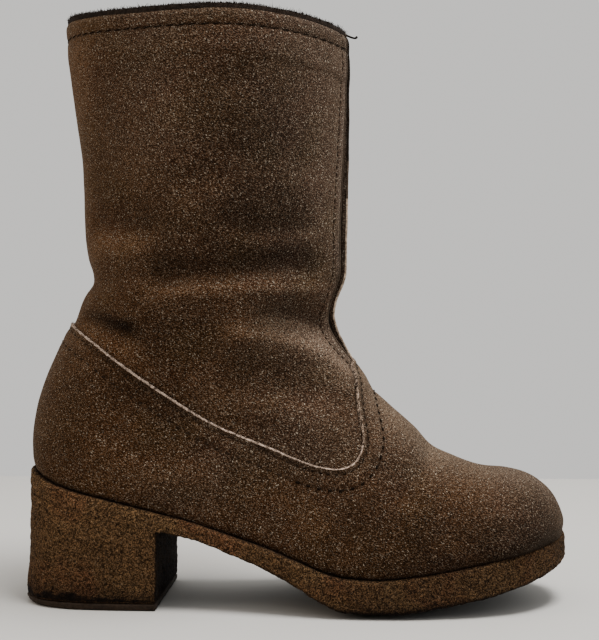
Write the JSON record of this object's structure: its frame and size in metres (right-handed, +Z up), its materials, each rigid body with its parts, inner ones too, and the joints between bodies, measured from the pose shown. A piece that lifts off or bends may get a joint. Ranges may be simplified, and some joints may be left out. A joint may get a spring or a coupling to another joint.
{
  "type": "suede boot",
  "caption": "Right-foot suede boot with a wide shaft above the ankle, a vamp lapped over the shaft, a crepe sole and a tall crepe block heel",
  "frame": {"origin": "centre of the bounding box's bottom face, on the floor", "axes": "+X toward the toe, +Y toward the inner (big toe) side, +Z up"},
  "size_m": [0.2516, 0.0954, 0.269],
  "materials": {
    "suede": "brown napped suede with fine lighter specks",
    "insole_board": "plain tan board, lightly worn",
    "crepe": "pebbled matt crepe rubber, ochre brown",
    "top_piece": "worn dark rubber"
  },
  "bodies": {
    "root": {"upper": "suede", "insole": "insole_board", "sole": "crepe", "heel": "crepe", "heel_tip": "top_piece"}
  },
  "joints": []
}
